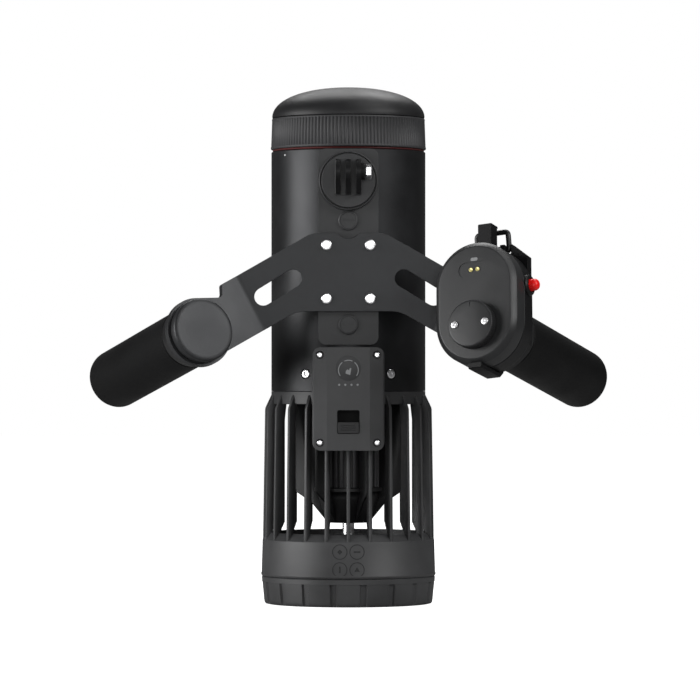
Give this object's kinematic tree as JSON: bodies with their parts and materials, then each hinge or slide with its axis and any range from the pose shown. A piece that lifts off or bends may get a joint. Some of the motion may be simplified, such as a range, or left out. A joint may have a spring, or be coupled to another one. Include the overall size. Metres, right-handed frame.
{
  "type": "underwater scooter",
  "caption": "Hand-held electric underwater scooter with a bent two-grip handlebar, detachable controller and a caged ducted propeller.",
  "frame": {"origin": "centre of the tail guard hub's end face, on the scooter's axis", "axes": "+Z along the hull towards the nose, -Y out of the handlebar side, +X to the right seen from that side"},
  "size_m": [0.3082, 0.1628, 0.3038],
  "materials": {
    "anodised_plate": "black anodised sheet, satin",
    "anodised_hull": "black anodised tube, satin",
    "grip_rubber": "matt",
    "seal_rubber": "satin",
    "black_rubber": "satin",
    "nose_plastic": "semi-gloss",
    "gold_contact": "gold plated",
    "red_plastic": "semi-gloss",
    "stainless_steel": "bright",
    "aluminium_core": "as turned",
    "circuit_board": "solder mask",
    "battery_wrap": "shrink wrap",
    "copper_winding": "enamelled",
    "magnet_steel": "plated",
    "lens_plastic": "smoked",
    "black_plastic": "fine grain",
    "black_wire": "coated",
    "grey_plastic": "fine grain"
  },
  "bodies": {
    "body": {"accessory_rail": "grey_plastic", "barrel_tube": "anodised_hull", "battery_lid": "black_plastic", "battery_pack": "battery_wrap", "cage": "grey_plastic", "camera_mount": "grey_plastic", "camera_mount_nut": "stainless_steel", "charge_contact_1": "gold_contact", "charge_contact_2": "gold_contact", "display_board": "circuit_board", "display_housing": "grey_plastic", "display_screw_1": "stainless_steel", "display_screw_2": "stainless_steel", "display_screw_3": "stainless_steel", "display_screw_4": "stainless_steel", "driver_board": "circuit_board", "gauge_lens": "lens_plastic", "handlebar_plate": "anodised_plate", "handlebar_screw_1": "stainless_steel", "handlebar_screw_2": "stainless_steel", "handlebar_screw_3": "stainless_steel", "handlebar_screw_4": "stainless_steel", "left_grip_bolt": "stainless_steel", "left_grip_cap": "anodised_plate", "left_grip_core": "aluminium_core", "left_grip_sleeve": "grip_rubber", "lower_bearing": "stainless_steel", "motor_housing": "grey_plastic", "motor_lid": "anodised_hull", "motor_stator": "copper_winding", "nose_seal": "seal_rubber", "rail_plug_lower": "grey_plastic", "rail_plug_upper": "grey_plastic", "remote_board": "circuit_board", "remote_cradle": "black_plastic", "remote_front_shell": "grey_plastic", "remote_rear_shell": "black_plastic", "right_grip_bolt": "stainless_steel", "right_grip_core": "aluminium_core", "right_grip_sleeve": "grip_rubber", "shaft_seal": "black_rubber", "tail_screw_1": "stainless_steel", "tail_screw_2": "stainless_steel", "tail_screw_3": "stainless_steel", "tail_screw_4": "stainless_steel", "upper_bearing": "stainless_steel"},
    "nose_dome": {"nose_dome": "nose_plastic"},
    "nose_ring": {"nose_ring": "grey_plastic"},
    "propeller": {"motor_rotor": "magnet_steel", "motor_shaft": "stainless_steel", "propeller": "black_plastic", "propeller_nut": "stainless_steel"},
    "tail_ring": {"tail_ring": "grey_plastic"},
    "power_slider": {"power_slider": "black_plastic"},
    "remote_button": {"remote_button": "red_plastic"},
    "remote_dial": {"remote_dial": "grey_plastic", "remote_dial_screw_1": "stainless_steel", "remote_dial_screw_2": "stainless_steel"},
    "remote_bail": {"remote_bail": "black_wire"}
  },
  "joints": [
    {"name": "propeller_spin", "type": "hinge", "parent": "body", "child": "propeller", "pos_m": [0, 0, 0.03], "axis": [0, 0, 1], "continuous": true},
    {"name": "nose_lift", "type": "slide", "parent": "body", "child": "nose_dome", "axis": [0, 0, 1], "range_m": [0, 0.012]},
    {"name": "nose_ring_turn", "type": "hinge", "parent": "nose_dome", "child": "nose_ring", "pos_m": [0, 0, 0.276], "axis": [0, 0, 1], "range_deg": [0, 360]},
    {"name": "tail_ring_twist", "type": "hinge", "parent": "body", "child": "tail_ring", "pos_m": [0, 0, 0.008], "axis": [0, 0, 1], "range_deg": [0, 20]},
    {"name": "power_slide", "type": "slide", "parent": "body", "child": "power_slider", "axis": [0, 0, 1], "range_m": [0, 0.0064]},
    {"name": "remote_button_press", "type": "slide", "parent": "body", "child": "remote_button", "axis": [-0.8953, 0.4309, -0.113], "range_m": [0, 0.0025], "stiffness_N_per_m": 400, "springref_m": -0.001},
    {"name": "remote_dial_turn", "type": "hinge", "parent": "body", "child": "remote_dial", "pos_m": [0.07142, -0.09913, 0.16244], "axis": [-0.4455, -0.866, 0.227], "range_deg": [-60, 60]},
    {"name": "bail_swing", "type": "hinge", "parent": "body", "child": "remote_bail", "pos_m": [0.08371, -0.06255, 0.20454], "axis": [-0.8953, 0.4309, -0.113], "range_deg": [0, 100]}
  ],
  "couplings": [
    {"joint": "nose_lift", "follows": "nose_ring_turn", "m_per_rad": 0.0019099}
  ]
}
